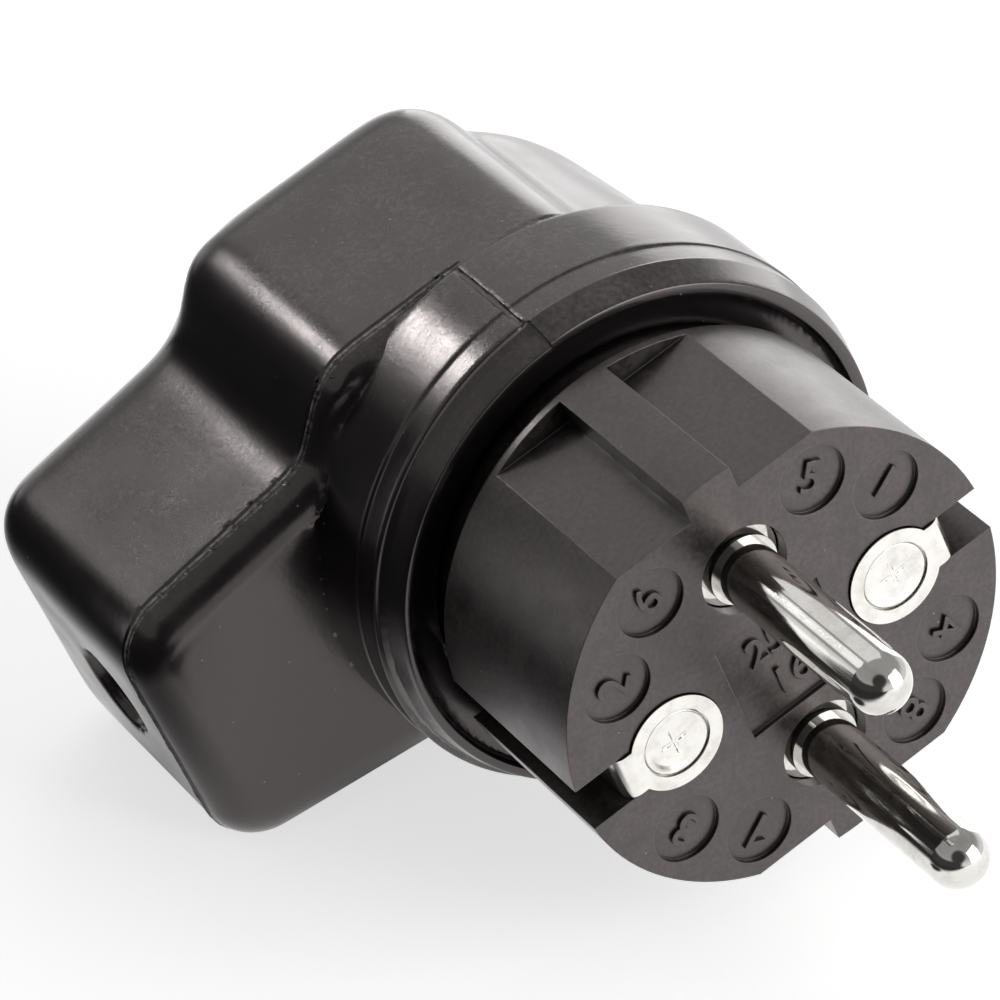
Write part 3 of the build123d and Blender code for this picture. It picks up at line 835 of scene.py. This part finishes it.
def makeFloor():
    look = floorLook
    bpy.ops.mesh.primitive_plane_add(size=look["reach"], location=(0, 0, cadLow.z))
    floor = bpy.context.object
    floor.name = "floor"
    material, tree, shader, place = startMaterial("whitePaperSweep")
    shader.inputs["Base Color"].default_value = hexColour(look["white"])
    shader.inputs["Roughness"].default_value = look["roughness"]
    path = addNode(tree, "ShaderNodeLightPath").outputs
    mirrored = addNode(tree, "ShaderNodeMath", larger, {
        0: path["Is Glossy Ray"], 1: path["Is Transmission Ray"]})
    # Far from the lamps the paper is as white as the wall behind it
    away = addNode(tree, "ShaderNodeVectorMath", {"operation": "LENGTH"}, {0: place})
    near, far = look["farM"]
    dim, full = look["seen"]
    white = addNode(tree, "ShaderNodeMapRange", eased, {
        "Value": away.outputs["Value"], "From Min": near, "From Max": far,
        "To Min": dim, "To Max": full})
    glow = addNode(tree, "ShaderNodeMath", times, {
        0: path["Is Camera Ray"], 1: white.outputs[0]})
    # Mirrored, the paper fades towards the dark wall on the left
    across = addNode(tree, "ShaderNodeVectorMath", dotProduct, {
        0: place, 1: (0, 1 / mm, 0)})
    start, end = look["fadeMm"]
    dim, full = look["mirrored"]
    lit = addNode(tree, "ShaderNodeMapRange", eased, {
        "Value": across.outputs["Value"], "From Min": start, "From Max": end,
        "To Min": dim, "To Max": full})
    glow = addNode(tree, "ShaderNodeMath", timesPlus, {
        0: mirrored.outputs[0], 1: lit.outputs[0], 2: glow.outputs[0]})
    shine = addNode(tree, "ShaderNodeEmission", None, {
        "Color": (1, 1, 1, 1), "Strength": glow.outputs[0]})
    both = addNode(tree, "ShaderNodeAddShader", None, {
        0: shader.outputs[0], 1: shine.outputs[0]})
    # For all but the camera it is dark far to the left, under the arm and beside the collar
    start, end = look["darkMm"]
    dark = addNode(tree, "ShaderNodeMapRange", eased, {
        "Value": across.outputs["Value"], "From Min": end, "From Max": start})
    for (x, y), (core, rim) in look["shadesMm"]:
        off = addNode(tree, "ShaderNodeVectorMath", {"operation": "DISTANCE"}, {
            0: place, 1: (x * mm, y * mm, 0)})
        shaded = addNode(tree, "ShaderNodeMapRange", eased, {
            "Value": off.outputs["Value"], "From Min": rim * mm, "From Max": core * mm})
        dark = addNode(tree, "ShaderNodeMath", larger, {
            0: dark.outputs[0], 1: shaded.outputs[0]})
    unseen = addNode(tree, "ShaderNodeMath", {"operation": "SUBTRACT"}, {
        0: 1.0, 1: path["Is Camera Ray"]})
    dark = addNode(tree, "ShaderNodeMath", times, {
        0: unseen.outputs[0], 1: dark.outputs[0]})
    shade = addNode(tree, "ShaderNodeEmission", None, {"Strength": look["darkest"]})
    seen = addNode(tree, "ShaderNodeMixShader", None, {
        0: dark.outputs[0], 1: both.outputs[0], 2: shade.outputs[0]})
    tree.links.new(seen.outputs[0], tree.nodes["Material Output"].inputs["Surface"])
    floor.data.materials.append(material)
    print("floor laid")


# White room, lit from above, behind and the right. Its left and the corner behind the camera stay
# dark, and give the rubber and the pins their black reflections. A bright window stands behind
# the plug, where the pins and the collar mirror it
roomLook = {
    "fill": 0.45,  # share of the room's light that falls on matt surfaces
    "darkest": 0.06,
    "darkWallHeight": (0.30, 0.42),
    "darkWallSide": (0.20, 0.42),
    "darkCornerWay": (0.727, -0.390, 0.564),
    "darkCorner": (0.88, 0.95),
    "zenith": 0.40,
    "zenithFrom": (0.15, 0.50),
    "windowWay": (-0.727, -0.374, 0.569),
    "window": (0.970, 0.985),
    "windowGain": 1.45,
}


def makeRoom():
    look = roomLook
    world = bpy.data.worlds.new("whiteStudio")
    bpy.context.scene.world = world
    world.use_nodes = True
    tree = world.node_tree
    back = next(n for n in tree.nodes if n.type == "BACKGROUND")
    path = addNode(tree, "ShaderNodeLightPath").outputs
    way = addNode(tree, "ShaderNodeTexCoord").outputs["Generated"]
    axes = addNode(tree, "ShaderNodeSeparateXYZ", None, {0: way}).outputs
    low, high = look["darkWallHeight"]
    above = addNode(tree, "ShaderNodeMapRange", eased, {
        "Value": axes[2], "From Min": low, "From Max": high})
    near, far = look["darkWallSide"]
    right = addNode(tree, "ShaderNodeMapRange", eased, {
        "Value": axes[1], "From Min": -far, "From Max": -near})
    lit = addNode(tree, "ShaderNodeMath", larger, {
        0: above.outputs[0], 1: right.outputs[0]})
    towards = addNode(tree, "ShaderNodeVectorMath", dotProduct, {
        0: way, 1: look["darkCornerWay"]})
    rim, core = look["darkCorner"]
    clear = addNode(tree, "ShaderNodeMapRange", eased, {
        "Value": towards.outputs["Value"], "From Min": core, "From Max": rim})
    lit = addNode(tree, "ShaderNodeMath", times, {
        0: lit.outputs[0], 1: clear.outputs[0]})
    low, high = look["zenithFrom"]
    sky = addNode(tree, "ShaderNodeMapRange", eased, {
        "Value": axes[2], "From Min": low, "From Max": high,
        "To Min": 1.0, "To Max": look["zenith"]})
    lit = addNode(tree, "ShaderNodeMath", times, {
        0: lit.outputs[0], 1: sky.outputs[0]})
    towards = addNode(tree, "ShaderNodeVectorMath", dotProduct, {
        0: way, 1: look["windowWay"]})
    rim, core = look["window"]
    window = addNode(tree, "ShaderNodeMapRange", eased, {
        "Value": towards.outputs["Value"], "From Min": rim, "From Max": core,
        "To Max": look["windowGain"]})
    lit = addNode(tree, "ShaderNodeMath", larger, {
        0: lit.outputs[0], 1: window.outputs[0]})
    # Not clamped: the window is brighter than white
    room = addNode(tree, "ShaderNodeMapRange", {"clamp": False}, {
        "Value": lit.outputs[0], "To Min": look["darkest"], "To Max": 1.0})
    mirrored = addNode(tree, "ShaderNodeMath", larger, {
        0: path["Is Glossy Ray"], 1: path["Is Transmission Ray"]})
    share = addNode(tree, "ShaderNodeMapRange", None, {
        "Value": mirrored.outputs[0], "To Min": look["fill"], "To Max": 1.0})
    level = addNode(tree, "ShaderNodeMath", times, {
        0: room.outputs[0], 1: share.outputs[0]})
    level = addNode(tree, "ShaderNodeMath", larger, {
        0: level.outputs[0], 1: path["Is Camera Ray"]})
    tree.links.new(level.outputs[0], back.inputs["Strength"])
    back.inputs["Color"].default_value = (1, 1, 1, 1)
    print("room lit")


# Lamps: what they are aimed at and the way they stand from it, distance and sides in metres,
# brightness, and how wide the beam is in degrees. Snoots keep the shine on the hump and the
# collar, a strip draws the streak down the pins, and the boxes light the whole
lamps = {
    "highSnoot": {"aim": (-0.033, -0.006, 0.021), "way": (-0.727, -0.315, 0.610),
                  "away": 0.40, "side": (0.032, 0.032), "milliwatts": 0.21, "beam": 5.7},
    "middleSnoot": {"aim": (-0.033, -0.006, 0.021), "way": (-0.727, -0.384, 0.570),
                    "away": 0.40, "side": (0.032, 0.032), "milliwatts": 0.21, "beam": 5.7},
    "lowSnoot": {"aim": (-0.033, -0.006, 0.021), "way": (-0.727, -0.450, 0.518),
                 "away": 0.40, "side": (0.032, 0.032), "milliwatts": 0.07, "beam": 5.7},
    "pinStrip": {"aim": (0.012, -0.005, 0.010), "way": (-0.727, -0.678, 0.103),
                 "away": 0.09, "side": (0.014, 0.060), "milliwatts": 0.28, "beam": 44.0},
    "overheadBox": {"aim": (-0.030, -0.006, 0.0), "way": (-0.62, 0.20, 0.76),
                    "away": 0.55, "side": (0.40, 0.40), "milliwatts": 320.0, "beam": 180.0},
    "rightBox": {"aim": (-0.030, -0.006, 0.0), "way": (-0.66, 0.74, 0.05),
                 "away": 0.50, "side": (0.36, 0.36), "milliwatts": 900.0, "beam": 180.0},
    "frontBox": {"aim": (-0.030, -0.006, 0.0), "way": (0.78, 0.52, 0.34),
                 "away": 0.60, "side": (0.42, 0.42), "milliwatts": 2000.0, "beam": 180.0},
}


def makeLamps():
    for name, look in lamps.items():
        light = bpy.data.lights.new(name, "AREA")
        light.shape = "RECTANGLE"
        light.size, light.size_y = look["side"]
        light.energy = look["milliwatts"] / 1000
        light.spread = math.radians(look["beam"])
        lamp = bpy.data.objects.new(name, light)
        bpy.context.scene.collection.objects.link(lamp)
        way = Vector(look["way"]).normalized()
        lamp.location = Vector(look["aim"]) + way * look["away"]
        lamp.rotation_euler = (-way).to_track_quat("-Z", "Y").to_euler()
    print("lamps set:", len(lamps))


cameraPlace = {
    "location": (0.275180, -0.169647, 0.236736),
    "aim": (-0.03027, -0.00566, -0.00035),
    "roll": math.radians(-5.52),
    "lens": 200.67,
    "sensor": 36.0,
}


def makeCamera():
    data = bpy.data.cameras.new("camera")
    data.lens = cameraPlace["lens"]
    data.sensor_width = cameraPlace["sensor"]
    camera = bpy.data.objects.new("camera", data)
    bpy.context.scene.collection.objects.link(camera)
    camera.location = cameraPlace["location"]
    sight = Vector(cameraPlace["aim"]) - camera.location
    turn = sight.to_track_quat("-Z", "Y") @ Quaternion((0, 0, 1), cameraPlace["roll"])
    camera.rotation_euler = turn.to_euler()
    bpy.context.scene.camera = camera
    bpy.context.scene.view_settings.view_transform = "Standard"
    print("camera placed")


makeFloor()
makeRoom()
makeLamps()
makeCamera()
